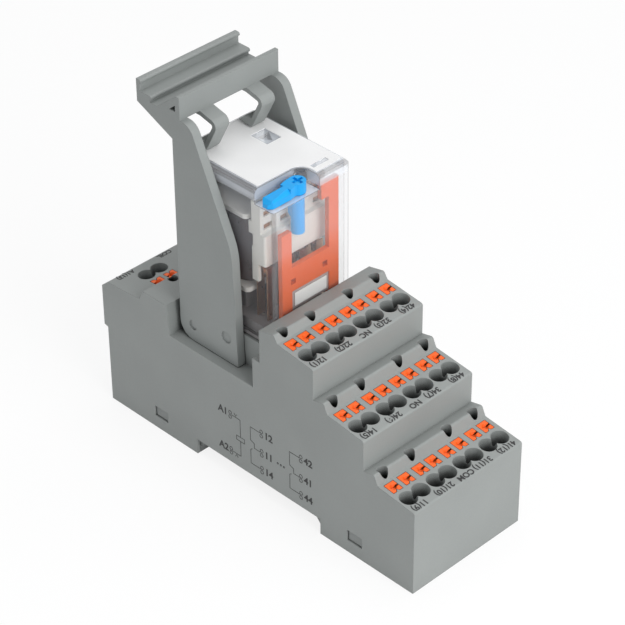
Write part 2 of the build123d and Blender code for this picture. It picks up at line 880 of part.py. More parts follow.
def make_retaining_clip():
    """Swinging clip: two arms, the grip bar with its gutter, and two sprung hooks."""
    points, rounds = clip_outline_points()
    arm_y = clip_span / 2 - clip_arm_thickness / 2
    pin_end = bay_half_width + clip_pin_end_gap
    hollow_front = bar_front - bar_sheet
    slope = bar_slope_drop / bar_slope_run
    hollow_top = bar_top - bar_sheet * (1 + slope)
    hollow_back = hollow_front - (hollow_top - clip_shoulder_height) / slope
    with BuildPart() as clip:
        for side in (-1, 1):
            with BuildSketch(Plane.XZ.offset(-side * arm_y)) as arm:
                with BuildLine():
                    Polyline(*points, close=True)
                make_face()
                for corner, radius in rounds:
                    fillet(corners_at(arm, [corner]), radius=radius)
            extrude(amount=clip_arm_thickness / 2, both=True)

        # Grip bar between the arms, hollow behind its front plate
        with BuildSketch(Plane.XZ):
            with BuildLine():
                Polyline(
                    *bar_top_points(),
                    (bar_back, bar_floor - bar_sheet),
                    (hollow_back - bar_sheet, bar_floor - bar_sheet),
                    (hollow_back - bar_sheet, clip_shoulder_height - bar_sheet / 2),
                    (bar_front, clip_shoulder_height - bar_sheet / 2),
                    close=True,
                )
            make_face()
            with BuildLine():
                Polyline(
                    (hollow_front, clip_shoulder_height - bar_sheet),
                    (hollow_front, hollow_top),
                    (hollow_back, clip_shoulder_height),
                    (hollow_back, clip_shoulder_height - bar_sheet),
                    close=True,
                )
            make_face(mode=Mode.SUBTRACT)
            with Locations(((hollow_front + bar_front) / 2, clip_shoulder_height - bar_sheet / 2)):
                Rectangle(2 * bar_sheet, bar_sheet, mode=Mode.SUBTRACT)
        extrude(amount=clip_span / 2 - clip_arm_thickness, both=True)

        # Beads along the step and the back plate
        bead_top = bar_floor - bead_radius
        with BuildSketch(Plane.XZ):
            with Locations(
                (bar_back + bar_back_sheet, bead_top + bar_back_height),
                (bar_front - bar_lip - bar_slope_run - bar_gutter_run, bead_top + bar_step_rise),
            ):
                Circle(bead_radius)
        extrude(amount=clip_span / 2, both=True)

        # Small three-cornered opening in each end of the bar
        with BuildSketch(Plane.XZ):
            with BuildLine():
                Polyline(
                    (hollow_front, hollow_top),
                    (hollow_front, hollow_top - bar_peek),
                    (hollow_front - bar_peek / slope, hollow_top - bar_peek),
                    close=True,
                )
            make_face()
        extrude(amount=clip_span, both=True, mode=Mode.SUBTRACT)

        # Hooks that bend forward from the bar and back down onto the relay
        knee = (bar_front + hook_reach, clip_shoulder_height - hook_fall)
        toe_bottom = relay_top + toe_gap
        tip = (knee[0] - hook_return, toe_bottom + toe_height / 2)
        for side in (-1, 1):
            with BuildSketch(Plane.XZ.offset(-side * hook_centre)):
                with BuildLine():
                    FilletPolyline(
                        (bar_front - bar_sheet, clip_shoulder_height - hook_sheet / 2),
                        (bar_front, clip_shoulder_height - hook_sheet / 2),
                        knee,
                        tip,
                        radius=[hook_bend / 2, hook_bend],
                    )
                trace(line_width=hook_sheet)
                with BuildLine():
                    Polyline(
                        (tip[0] + hook_sheet / 2, toe_bottom + toe_height / 2),
                        (tip[0], toe_bottom),
                        (tip[0] - toe_length, toe_bottom + toe_rise),
                        (tip[0] - toe_length / 2, toe_bottom + toe_height),
                        (tip[0] + hook_sheet / 4, toe_bottom + toe_height),
                        close=True,
                    )
                make_face()
            extrude(amount=hook_width / 2, both=True)

        # Pivot pins on the inner faces of the feet
        for side in (-1, 1):
            with BuildSketch(Plane.XZ.offset(-side * (clip_span / 2 - clip_arm_thickness / 2))):
                with Locations((clip_pivot_x, clip_pivot_height)):
                    Circle(clip_pin_radius)
            extrude(amount=side * (clip_span / 2 - clip_arm_thickness / 2 - pin_end))

        # Pivot mark and finger dimple on the outer faces
        for side in (-1, 1):
            with BuildSketch(Plane.XZ.offset(-side * clip_span / 2)):
                with Locations((clip_pivot_x, clip_pivot_height)):
                    Circle(clip_mark_radius)
                    with Locations((clip_mark_shift, clip_mark_shift)):
                        Circle(clip_mark_radius, mode=Mode.SUBTRACT)
                with Locations((clip_pivot_x + clip_dimple_from_pivot, clip_pivot_height + clip_dimple_rise)):
                    Circle(clip_dimple_radius)
            extrude(amount=side * clip_dimple_depth, mode=Mode.SUBTRACT)
    return clip


def scoop_outline(grow):
    """Outline of the recess for the test lever, grown inwards over the relay."""
    out_x = relay_front + case_wall
    out_y = -relay_width / 2 - case_wall
    inner_corner = (scoop_rear - grow, scoop_side + grow)
    with BuildSketch() as outline:
        with BuildLine():
            Polyline(
                (scoop_rear - grow, out_y),
                (out_x, out_y),
                (out_x, scoop_side + grow),
                inner_corner,
                close=True,
            )
        make_face()
        fillet(corners_at(outline, [inner_corner]), radius=scoop_corner + grow)
    return outline.sketch


def make_relay_case():
    """Clear cover with bevelled top edges and the recess for the test lever."""
    skirt = relay_bottom + base_flange
    with BuildPart() as case:
        with BuildSketch(Plane.XY.offset(skirt)):
            with Locations((relay_x, 0)):
                RectangleRounded(relay_length, relay_width, case_corner)
        extrude(amount=relay_top - skirt)
        chamfer(case.faces().sort_by(Axis.Z)[-1].edges(), length=case_bevel)
        with BuildSketch(Plane.XY.offset(skirt)):
            with Locations((relay_x, 0)):
                RectangleRounded(
                    relay_length - 2 * case_wall,
                    relay_width - 2 * case_wall,
                    case_corner - case_wall / 2,
                )
        extrude(amount=relay_top - case_wall - skirt, mode=Mode.SUBTRACT)

        # Walls and floor of the lever recess, then the recess itself
        with BuildSketch(Plane.XY.offset(scoop_floor - case_wall)):
            add(scoop_outline(case_wall))
            with Locations((relay_x, 0)):
                Rectangle(relay_length - case_wall, relay_width - case_wall, mode=Mode.INTERSECT)
        extrude(amount=scoop_depth + case_wall / 2)
        with BuildSketch(Plane.XY.offset(scoop_floor)):
            add(scoop_outline(0))
        extrude(amount=scoop_depth + 1, mode=Mode.SUBTRACT)
        with BuildSketch(Plane.XY.offset(scoop_floor)):
            with Locations((lever_x, lever_head_y)):
                Circle(lever_stem_radius + lever_running_gap)
        extrude(amount=-2 * case_wall, mode=Mode.SUBTRACT)

        # Three-sided mark sunk into the top
        with BuildSketch(Plane.XY.offset(relay_top)):
            with Locations((mark_x, mark_y)):
                RegularPolygon(moulding_mark_radius, 3)
        extrude(amount=-moulding_mark_depth, taper=moulding_mark_taper, mode=Mode.SUBTRACT)
    return case


def make_relay_label():
    """Thin sheet on top of the relay, cut away round the lever recess and the mark."""
    with BuildPart() as label:
        with BuildSketch(Plane.XY.offset(relay_top)):
            with Locations((relay_x, 0)):
                RectangleRounded(
                    relay_length - 2 * label_margin,
                    relay_width - 2 * label_margin,
                    label_corner,
                )
            add(scoop_outline(label_scoop_margin), mode=Mode.SUBTRACT)
            with Locations((mark_x, mark_y)):
                Rectangle(mark_window_length, mark_window_width, mode=Mode.SUBTRACT)
            with Locations((relay_front - slot_mark_from_front, slot_mark_y)):
                Rectangle(slot_mark_length, slot_mark_width, mode=Mode.SUBTRACT)
        extrude(amount=label_thickness)
    return label


def make_relay_base():
    """Base plate of the relay with slots for the blades and ribs that carry the magnet."""
    with BuildPart() as base:
        with BuildSketch(Plane.XY.offset(relay_bottom)):
            with Locations((relay_x, 0)):
                RectangleRounded(relay_length, relay_width, case_corner)
        extrude(amount=base_flange)
        with BuildSketch(Plane.XY.offset(relay_bottom)):
            with Locations((relay_x, 0)):
                RectangleRounded(
                    relay_length - 2 * (case_wall + base_gap),
                    relay_width - 2 * (case_wall + base_gap),
                    case_corner - case_wall / 2,
                )
        extrude(amount=base_thickness)
        with BuildSketch(Plane.XY.offset(base_top)):
            with Locations((bobbin_x - rib_from_core, 0), (bobbin_x + rib_from_core, 0)):
                Rectangle(rib_length, rib_width)
        extrude(amount=yoke_bottom - base_top)
        with BuildSketch(Plane.XY.offset(relay_bottom)):
            with Locations(*blade_places()):
                Rectangle(blade_width + 2 * blade_fit_gap, blade_thickness + 2 * blade_fit_gap)
        extrude(amount=base_thickness, mode=Mode.SUBTRACT)
    return base


def make_relay_blades():
    """Fourteen flat blades with bevelled tips."""
    tip = relay_bottom - blade_length
    half = blade_width / 2
    contact_count = len(tier_rows) * pole_count
    with BuildPart() as blades:
        for number, (x, y) in enumerate(blade_places()):
            top = base_top
            if number < pole_count:
                top = base_top + com_lug
            if number >= contact_count:
                top = base_top + coil_lug
            with BuildSketch(Plane.XZ.offset(-y)):
                with BuildLine():
                    Polyline(
                        (x - half + blade_tip, tip),
                        (x + half - blade_tip, tip),
                        (x + half, tip + blade_tip),
                        (x + half, top),
                        (x - half, top),
                        (x - half, tip + blade_tip),
                        close=True,
                    )
                make_face()
            extrude(amount=blade_thickness / 2, both=True)
    return blades


def make_coil_bobbin():
    """Bobbin with a flange at each end of its tube."""
    with BuildPart() as bobbin:
        for bottom in (bobbin_bottom, bobbin_top - bobbin_flange):
            with BuildSketch(Plane.XY.offset(bottom)):
                with Locations((bobbin_x, 0)):
                    RectangleRounded(bobbin_length, bobbin_width, bobbin_flange)
            extrude(amount=bobbin_flange)
        with BuildSketch(Plane.XY.offset(bobbin_bottom)):
            with Locations((bobbin_x, 0)):
                Circle(core_radius + bobbin_gap + bobbin_tube)
        extrude(amount=bobbin_height)
        with BuildSketch(Plane.XY.offset(bobbin_bottom)):
            with Locations((bobbin_x, 0)):
                Circle(core_radius + bobbin_gap)
        extrude(amount=bobbin_height, mode=Mode.SUBTRACT)
    return bobbin


def make_coil_winding():
    """Wound copper between the bobbin's flanges."""
    with BuildPart() as winding:
        with BuildSketch(Plane.XY.offset(bobbin_bottom + bobbin_flange)):
            with Locations((bobbin_x, 0)):
                RectangleRounded(
                    bobbin_length - 2 * winding_inset,
                    bobbin_width - 2 * winding_inset_side,
                    winding_corner,
                )
                Circle(core_radius + bobbin_gap + bobbin_tube, mode=Mode.SUBTRACT)
        extrude(amount=bobbin_height - 2 * bobbin_flange)
    return winding


def make_coil_core():
    """Soft iron core with its pole face on top."""
    with BuildPart() as core:
        with BuildSketch(Plane.XY.offset(bobbin_bottom)):
            with Locations((bobbin_x, 0)):
                Circle(core_radius)
        extrude(amount=bobbin_height)
        with BuildSketch(Plane.XY.offset(bobbin_top)):
            with Locations((bobbin_x, 0)):
                Circle(pole_radius)
        extrude(amount=pole_thickness)
    return core


def make_coil_yoke():
    """Bent iron yoke: a leg under the bobbin and an upright behind it."""
    leg_end = bobbin_x + core_radius + rib_length
    with BuildPart() as yoke:
        with BuildSketch(Plane.XZ):
            with BuildLine():
                Polyline(
                    (yoke_back, yoke_bottom),
                    (leg_end, yoke_bottom),
                    (leg_end, bobbin_bottom),
                    (yoke_back + yoke_sheet, bobbin_bottom),
                    (yoke_back + yoke_sheet, yoke_top),
                    (yoke_back, yoke_top),
                    close=True,
                )
            make_face()
        extrude(amount=yoke_width / 2, both=True)
    return yoke


def armature_plane():
    """Underside of the armature at rest: origin on the pivot, local X up and forward."""
    lift = radians(armature_swing)
    return Plane(
        origin=(pivot_x, 0, pivot_height),
        x_dir=(cos(lift), 0, sin(lift)),
        z_dir=(-sin(lift), 0, cos(lift)),
    )


def make_armature():
    """Iron plate that tilts on the yoke's top edge."""
    reach = carrier_back + carrier_bite - pivot_x
    with BuildPart() as armature:
        with BuildSketch(armature_plane()):
            with Locations(((reach - armature_heel) / 2, 0)):
                Rectangle(reach + armature_heel, armature_width)
        extrude(amount=armature_sheet)
    return armature


def make_contact_carrier():
    """Moulding on the armature: a comb that holds the contact springs, a block and two cheeks."""
    top = relay_bottom + carrier_top
    shelf = top - carrier_comb_height
    block_bottom = shelf - carrier_block_height
    block_x = carrier_back + carrier_length / 2
    comb_x = carrier_back + carrier_comb_length / 2
    slot_top = shelf + carrier_window_sill + carrier_window_pitch + carrier_window_height
    with BuildPart() as carrier:
        with BuildSketch(Plane.XY.offset(block_bottom)):
            with Locations((block_x, 0)):
                RectangleRounded(carrier_length, carrier_width, carrier_round)
        extrude(amount=carrier_block_height)
        with BuildSketch(Plane.XY.offset(shelf)):
            with Locations((comb_x, 0)):
                Rectangle(carrier_comb_length, carrier_width)
        extrude(amount=carrier_comb_height)
        for side in (-1, 1):
            cheek_y = side * (carrier_width - cheek_width) / 2
            with BuildSketch(Plane.XY.offset(block_bottom - cheek_height)):
                with Locations((carrier_back + cheek_length / 2, cheek_y)):
                    Rectangle(cheek_length, cheek_width)
            extrude(amount=cheek_height + carrier_block_height / 2)
            with BuildSketch(Plane.XY.offset(shelf - carrier_window_sill)):
                with Locations((carrier_back, cheek_y)):
                    Rectangle(2 * carrier_lug_length, cheek_width)
            extrude(amount=carrier_lug_height)

        # Pocket for the armature's front edge
        with BuildSketch(armature_plane().offset(-carrier_fit_gap)):
            with Locations((carrier_back + carrier_bite + carrier_fit_gap - pivot_x - carrier_length / 2, 0)):
                Rectangle(carrier_length, armature_width + 2 * carrier_fit_gap)
        extrude(amount=armature_sheet + 2 * carrier_fit_gap, mode=Mode.SUBTRACT)

        # Slots for the contact springs and the windows that show them
        with BuildSketch(Plane.XY.offset(slot_top)):
            with Locations(*[(contact_x, y) for y in blade_columns]):
                Rectangle(contact_sheet + 2 * carrier_fit_gap, contact_width + 2 * carrier_fit_gap)
        extrude(amount=block_bottom - slot_top, mode=Mode.SUBTRACT)
        low_row = shelf + carrier_window_sill + carrier_window_height / 2
        rows = [low_row, low_row + carrier_window_pitch]
        with BuildSketch(Plane.YZ.offset(contact_x)):
            with Locations(*[(y, z) for y in blade_columns for z in rows]):
                Rectangle(carrier_window_width, carrier_window_height)
        extrude(amount=carrier_length, mode=Mode.SUBTRACT)
    return carrier


def make_contact_strip(x, y, bottom, top, face, height):
    """Upright contact strip with a round contact on the side it faces."""
    with BuildPart() as strip:
        with BuildSketch(Plane.XY.offset(bottom)):
            with Locations((x, y)):
                Rectangle(contact_sheet, contact_width)
        extrude(amount=top - bottom)
        for side in face:
            with BuildSketch(Plane.YZ.offset(x)):
                with Locations((y, height)):
                    Circle(contact_radius)
            extrude(amount=side * (contact_sheet / 2 + contact_button))
    return strip.part


def make_moving_contacts():
    """Four springs that hang from the carrier, with a contact on each side."""
    bottom = contact_height - contact_tail
    shelf = relay_bottom + carrier_top - carrier_comb_height
    top = shelf + carrier_window_sill + carrier_window_pitch + carrier_window_height
    strips = [make_contact_strip(contact_x, y, bottom, top, (-1, 1), contact_height) for y in blade_columns]
    with BuildPart() as contacts:
        add(strips)
    return contacts


def make_fixed_contacts(side, shift, fall):
    """Four fixed strips on one side of the moving contacts, standing on their blades."""
    x = contact_x + side * (contact_sheet + 2 * contact_button + contact_air_gap + shift)
    height = contact_height - fall
    top = height + contact_tail
    strips = [make_contact_strip(x, y, base_top, top, (-side,), height) for y in blade_columns]
    with BuildPart() as contacts:
        add(strips)
    return contacts


def make_return_spring():
    """Leaf behind the yoke that hooks over the heel of the armature."""
    x = yoke_back - leaf_sheet / 2
    hook = pivot_height + armature_sheet + leaf_gap + leaf_sheet / 2
    with BuildPart() as spring:
        with BuildSketch(Plane.XZ):
            with BuildLine():
                FilletPolyline(
                    (x, hook - leaf_length),
                    (x, hook),
                    (x + leaf_hook, hook),
                    radius=leaf_sheet,
                )
            trace(line_width=leaf_sheet)
        extrude(amount=leaf_width / 2, both=True)
    return spring


def make_front_frame():
    """Coloured frame with two posts, a crossbar and an inward tab."""
    left = frame_left + frame_post
    right = frame_right - frame_post
    right_top = relay_bottom + frame_right_height
    with BuildPart() as frame:
        with BuildSketch(Plane.YZ.offset(frame_x)):
            for y, height in ((frame_left, frame_left_height), (right, frame_right_height)):
                length = relay_bottom + height - base_top
                with Locations((y + frame_post / 2, base_top + length / 2)):
                    Rectangle(frame_post, length)
            with Locations((right - frame_tab / 2, right_top - frame_tab_height / 2)):
                Rectangle(frame_tab, frame_tab_height)
            with Locations(((left + right) / 2, relay_bottom + crossbar_bottom + crossbar_height / 2)):
                Rectangle(right - left, crossbar_height)
            hole_height = relay_bottom + crossbar_bottom + crossbar_hole_rise
            with Locations((-crossbar_hole_y, hole_height), (crossbar_hole_y, hole_height)):
                Rectangle(crossbar_hole, crossbar_hole, mode=Mode.SUBTRACT)
        extrude(amount=frame_thickness)
    return frame


def make_window_plate():
    """Pale plate with a raised pad, held between the posts under the crossbar."""
    left = frame_left + frame_post
    right = frame_right - frame_post
    top = relay_bottom + crossbar_bottom
    middle = ((left + right) / 2, top - window_plate_height / 2)
    front = frame_x + (frame_thickness + window_plate_thickness) / 2
    with BuildPart() as plate:
        with BuildSketch(Plane.YZ.offset(front)):
            with Locations(middle):
                Rectangle(right - left, window_plate_height)
        extrude(amount=-window_plate_thickness)
        with BuildSketch(Plane.YZ.offset(front)):
            with Locations(middle):
                Rectangle(
                    right - left - 2 * window_pad_border,
                    window_plate_height - 2 * window_pad_border,
                )
        extrude(amount=window_pad_rise)
    return plate


def make_test_lever():
    """Turning lever with a cross recess in its head, a faceted arm and a stem below."""
    bottom = scoop_floor + lever_floor_gap
    top = relay_top - lever_top_inset
    tail = lever_head_y - lever_length
    body = lever_head_y - lever_body_start
    shoulder = lever_head_y - lever_head_radius
    half = lever_body_width / 2
    neck = lever_neck_width / 2
    with BuildPart() as lever:
        with BuildSketch(Plane.XY.offset(bottom)):
            with Locations((lever_x, lever_head_y)):
                Circle(lever_head_radius)
            with BuildLine():
                Polyline(
                    (lever_x - lever_head_radius, lever_head_y),
                    (lever_x - half, body),
                    (lever_x - half, tail + lever_tip_bevel),
                    (lever_x - half + lever_tip_bevel, tail),
                    (lever_x + half - lever_tip_bevel, tail),
                    (lever_x + half, tail + lever_tip_bevel),
                    (lever_x + half, body),
                    (lever_x + neck, shoulder),
                    (lever_x + neck, lever_head_y),
                    close=True,
                )
            make_face()
        extrude(amount=top - bottom)

        # Top face falls towards the tail and is bevelled at its end
        with BuildSketch(Plane.YZ.offset(lever_x)):
            with BuildLine():
                Polyline(
                    (shoulder, top),
                    (tail + lever_tip_bevel, top - lever_tip_fall),
                    (tail, top - lever_tip_fall - lever_tip_bevel),
                    (tail - 1, top - lever_tip_fall - lever_tip_bevel),
                    (tail - 1, top + 1),
                    (shoulder, top + 1),
                    close=True,
                )
            make_face()
        extrude(amount=2 * lever_head_radius, both=True, mode=Mode.SUBTRACT)

        # Facets along both sides of the arm
        slant = lever_facet_run / lever_facet_rise
        for side in (-1, 1):
            edge = lever_x + side * half
            with BuildSketch(Plane.XZ.offset(-body)):
                with BuildLine():
                    Polyline(
                        (edge, top - lever_facet_rise),
                        (edge + side, top - lever_facet_rise),
                        (edge + side, top + 1),
                        (edge - side * slant * (lever_facet_rise + 1), top + 1),
                        close=True,
                    )
                make_face()
            extrude(amount=lever_length, mode=Mode.SUBTRACT)

        # Cross recess
        with BuildSketch(Plane.XY.offset(top)):
            with Locations((lever_x, lever_head_y)):
                Rectangle(lever_cross_length, lever_cross_width)
                Rectangle(lever_cross_width, lever_cross_length)
        extrude(amount=-lever_cross_depth, mode=Mode.SUBTRACT)

        # Stem down through the case, with a wing on its back that tapers below
        with BuildSketch(Plane.XY.offset(bottom)):
            with Locations((lever_x, lever_head_y)):
                Circle(lever_stem_radius)
        extrude(amount=-lever_stem_length)
        wing_top = scoop_floor - case_wall - works_gap
        wing_end = lever_x - lever_wing_reach
        with BuildSketch(Plane.XZ.offset(-lever_head_y)):
            with BuildLine():
                Polyline(
                    (lever_x, wing_top),
                    (wing_end, wing_top),
                    (wing_end, wing_top - lever_wing_height + lever_wing_taper),
                    (lever_x, wing_top - lever_wing_height - lever_wing_taper),
                    close=True,
                )
            make_face()
        extrude(amount=lever_wing_width / 2, both=True)
    return lever


def save(piece, label):
    """Write one finished piece under its name."""
    piece.part.label = label
    export_step(piece.part, "parts/" + label + ".step")


save(make_housing(), "socket_housing")
save(make_base_cover(), "base_cover")
save(make_retaining_clip(), "retaining_clip")
for row, (name, plate, ys) in enumerate(terminal_rows()):
    save(make_current_bars(row), "current_bars_" + name)
    save(make_clamp_springs(row), "clamp_springs_" + name)
    for number, (x, y) in enumerate(button_centres(ys), start=1):
        save(make_button(plate, x, y), "release_button_" + name + "_" + str(number))
save(make_relay_case(), "relay_case")
save(make_relay_label(), "relay_label")
save(make_relay_base(), "relay_base")
save(make_relay_blades(), "relay_blades")
save(make_coil_bobbin(), "coil_bobbin")
save(make_coil_winding(), "coil_winding")
save(make_coil_core(), "coil_core")
save(make_coil_yoke(), "coil_yoke")
save(make_armature(), "armature")
save(make_contact_carrier(), "contact_carrier")
save(make_moving_contacts(), "moving_contacts")
save(make_fixed_contacts(-1, contact_shift, contact_fall), "fixed_contacts_no")
save(make_fixed_contacts(1, 0, 0), "fixed_contacts_nc")
save(make_return_spring(), "return_spring")
save(make_front_frame(), "front_frame")
save(make_window_plate(), "window_plate")
save(make_test_lever(), "test_lever")
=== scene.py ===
import json
from math import cos, pi, radians, sin, tan

import bpy
from mathutils import Matrix, Vector


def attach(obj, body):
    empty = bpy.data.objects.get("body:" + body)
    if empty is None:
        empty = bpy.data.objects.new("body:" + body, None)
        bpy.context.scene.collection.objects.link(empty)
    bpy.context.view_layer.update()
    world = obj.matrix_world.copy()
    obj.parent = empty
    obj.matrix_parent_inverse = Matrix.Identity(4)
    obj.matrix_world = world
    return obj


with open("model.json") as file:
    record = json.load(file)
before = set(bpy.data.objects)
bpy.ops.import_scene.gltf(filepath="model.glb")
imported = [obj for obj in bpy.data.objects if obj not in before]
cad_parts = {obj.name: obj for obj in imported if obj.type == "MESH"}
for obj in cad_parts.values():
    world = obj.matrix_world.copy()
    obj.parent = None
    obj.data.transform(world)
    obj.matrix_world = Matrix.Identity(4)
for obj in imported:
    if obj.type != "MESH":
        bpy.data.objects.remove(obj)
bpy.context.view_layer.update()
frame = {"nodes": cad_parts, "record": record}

MM = 0.001

# Camera: the photograph's viewpoint, in metres and degrees
PHOTO_WIDTH = 625
FOCAL_PIXELS = 2530.96
SENSOR_MM = 36.0
CAMERA_AT = (0.29513, -0.28779, 0.33483)
CAMERA_AZIMUTH = 45.527
CAMERA_ELEVATION = 35.841
CAMERA_ROLL = -0.508

# Light levels
WORLD_LEVEL = 0.44
WORLD_TONE = (0.97, 0.985, 1.0)
FLOOR_TONE = (0.92, 0.92, 0.92)
FLOOR_VEIL = 0.85
FLOOR_HALF = 1.5

# Softboxes: name, place, side and power, all aimed at one point, in metres and watts
LAMPS_AIM = (0.0, 0.0, 0.035)
LAMPS = (
    ("key", (0.60, -0.05, 0.42), 0.45, 3.5),
    ("fill", (0.24, -0.34, 0.14), 0.25, 0.12),
    ("top", (-0.05, 0.10, 0.75), 0.6, 2.1),
)

# Terminal plates, repeated from the solids in millimetres
TIER_SLOPE = 6.5
TIER_PITCH = 13.7
TIER_RISE = 9.95
PLATE_LENGTH = 9.8
LOWEST_TIER = 20.4
FRONT_X = 45.1
POLE_PITCH = 7.6
MIDDLE_POLE = 1.5
SIDE_Y = -15.5
COIL_STEP_X = -33.1
COIL_PLATE_HEIGHT = 31.7
COIL_SLOPE = 4.0
PAD_FRONT_X = 1.2

# Print on the plates, in millimetres, and the ink's darker and lighter tone
PRINT_LIFT = 0.03
PRINT_SIZE = 1.85
PRINT_FROM_STEP = 8.8
PRINT_SHIFTS = (-1.5, -2.2, 1.2, 0.6)
NAME_SHIFT = 0.1
PRINT_WEIGHT = 0.06
INK_TONES = ((0.008, 0.008, 0.009), (0.022, 0.022, 0.023))

# Coil prints and the wiring diagram on the side, in millimetres
COIL_PRINT_SIZE = 1.6
COIL_PRINT_FROM_STEP = 9.3
COIL_PRINTS = (("A1(13)", -11.2), ("COIL", -0.3), ("A2(14)", 11.0))
DIAGRAM_SIZE = 2.4
DIAGRAM_LINE = 0.07
PAIR_RADIUS = 0.42
PAIR_RISE = 0.55
LEAD_TOP = 16.3
LEAD_MIDDLE = 11.3
LEAD_BOTTOM = 6.9
COIL_COLUMN_X = -3.5
COIL_SYMBOL = (2.4, 1.1)
COIL_LEAD = 2.5
COIL_LABEL_GAP = 2.6
ARROW = ((-1.7, 0.9), (-1.3, 0.3), (-0.9, 0.9))
CONTACT_LEAD = 2.8
CONTACT_LABEL_GAP = 2.5
CONTACT_BEND = 1.1
ARM_TOP = 1.6
ARM_FOOT = 1.2
TOE = ((0.5, -0.5), (0.0, -0.8))
PAIR_DROP = 0.1
DOTS_X = 7.4
DOT_PITCH = 0.9
DOT_RADIUS = 0.2
CHANGEOVERS = ((-0.5, ("12", "11", "14")), (10.85, ("42", "41", "44")))

# Noise values that the ramps spread
NOISE_SPAN = (0.3, 0.7)

# Painted shade in hollows and gaps: reach in metres, open share that counts as dark and as clear, darkest
# tone
CAVITY_SHADE_REACH = 0.004
CAVITY_SHADE_SPAN = (0.15, 0.45)
CAVITY_DEEPEST_SHADE = 0.05

# Clear case: heights between which its wall turns lighter and more opaque in painted reflection, and where
# its thick rim starts, in metres
UPPER_REFLECTION_HEIGHTS = (0.046, 0.056)
RIM_HEIGHTS = (0.0672, 0.0676)
CASE_EDGE_RADIUS = 0.0003
CASE_BLEND = 0.25
CASE_VEIL = 0.07
# Painted reflection: the wall turns more opaque at a shallow angle
CASE_GRAZE_REFLECTION_VEIL = 0.4
# Painted refraction: edges and rounded corners turn more opaque
CASE_EDGE_REFRACTION_VEIL = 0.55
CASE_TURNED_REFRACTION_VEIL = 0.3
# Painted reflection: the top and upper wall turn more opaque
CASE_TOP_REFLECTION_VEIL = 0.45
CASE_UPPER_REFLECTION_VEIL = 0.1
CASE_RIM_VEIL = 0.4
CASE_TONE = (0.40, 0.40, 0.41)
# Painted reflection tone of the top and upper wall
CASE_TOP_REFLECTION_TONE = (0.80, 0.84, 0.90)
# Painted refraction tone of edges and rounded corners
CASE_EDGE_REFRACTION_TONE = (0.28, 0.28, 0.29)

# Largest part of a normal that is square to the axes, and turned away from them; upward part of a normal
SQUARE_TO_TURNED = (0.995, 0.93)
UPWARD_SPAN = (0.7, 0.95)

# Window plate: how far behind the pad's front its edge shows, in metres, and its two tones
PAD_EDGE = (0.00015, 0.0001)
SHEET_TONE = (0.40, 0.33, 0.31)
PAD_TONE = (0.80, 0.80, 0.78)


def node_group(material):
    """A material's emptied node tree with one shader on its output."""
    material.use_nodes = True
    tree = material.node_tree
    tree.nodes.clear()
    output = tree.nodes.new("ShaderNodeOutputMaterial")
    shader = tree.nodes.new("ShaderNodeBsdfPrincipled")
    tree.links.new(shader.outputs["BSDF"], output.inputs["Surface"])
    return tree, shader


def coordinates(tree):
    """Object coordinates, in metres."""
    return tree.nodes.new("ShaderNodeTexCoord").outputs["Object"]


def noise(tree, where, scale, detail=3.0):
    """Noise over a surface; scale is in cycles per metre."""
    node = tree.nodes.new("ShaderNodeTexNoise")
    node.inputs["Scale"].default_value = scale
    node.inputs["Detail"].default_value = detail
    tree.links.new(where, node.inputs["Vector"])
    return node.outputs["Fac"]


def mapped(tree, value, start, end, low=0.0, high=1.0):
    """A value's range from start to end moved onto low to high, and held at both ends."""
    node = tree.nodes.new("ShaderNodeMapRange")
    node.inputs["From Min"].default_value = start
    node.inputs["From Max"].default_value = end
    node.inputs["To Min"].default_value = low
    node.inputs["To Max"].default_value = high
    tree.links.new(value, node.inputs["Value"])
    return node.outputs["Result"]


def ramp(tree, value, low, high):
    """Noise spread between two values."""
    return mapped(tree, value, *NOISE_SPAN, low, high)


def mixed(tree, factor, first, second):
    """Colour between two, each a tone or another node's result."""
    node = tree.nodes.new("ShaderNodeMix")
    node.data_type = "RGBA"
    for name, colour in (("A", first), ("B", second)):
        if isinstance(colour, tuple):
            node.inputs[name].default_value = (*colour, 1.0)
        else:
            tree.links.new(colour, node.inputs[name])
    tree.links.new(factor, node.inputs["Factor"])
    return node.outputs["Result"]


def tinted(tree, value, dark, light):
    """Colour between a dark and a light tone."""
    return mixed(tree, ramp(tree, value, 0.0, 1.0), dark, light)


def split(tree, vector):
    """The X, Y and Z of a vector."""
    parts = tree.nodes.new("ShaderNodeSeparateXYZ")
    tree.links.new(vector, parts.inputs["Vector"])
    return parts.outputs


def maximum(tree, *values):
    """The largest of some values."""
    largest = values[0]
    for value in values[1:]:
        node = tree.nodes.new("ShaderNodeMath")
        node.operation = "MAXIMUM"
        tree.links.new(largest, node.inputs[0])
        tree.links.new(value, node.inputs[1])
        largest = node.outputs["Value"]
    return largest


def bump(tree, height, distance, strength, softened=None):
    """Normal from a height, on top of softened edges where a radius is given."""
    node = tree.nodes.new("ShaderNodeBump")
    node.inputs["Distance"].default_value = distance
    node.inputs["Strength"].default_value = strength
    tree.links.new(height, node.inputs["Height"])
    if softened:
        edge = tree.nodes.new("ShaderNodeBevel")
        edge.samples = 6
        edge.inputs["Radius"].default_value = softened
        tree.links.new(edge.outputs["Normal"], node.inputs["Normal"])
    return node.outputs["Normal"]


def painted_cavity_shade(tree, colour):
    """Colour with painted shade, darker down hollows and gaps."""
    open_sky = tree.nodes.new("ShaderNodeAmbientOcclusion")
    open_sky.samples = 8
    open_sky.inputs["Distance"].default_value = CAVITY_SHADE_REACH
    darker = tree.nodes.new("ShaderNodeMix")
    darker.data_type = "RGBA"
    darker.blend_type = "MULTIPLY"
    darker.inputs["Factor"].default_value = 1.0
    tree.links.new(colour, darker.inputs["A"])
    shade = mapped(tree, open_sky.outputs["AO"], *CAVITY_SHADE_SPAN, low=CAVITY_DEEPEST_SHADE)
    tree.links.new(shade, darker.inputs["B"])
    return darker.outputs["Result"]


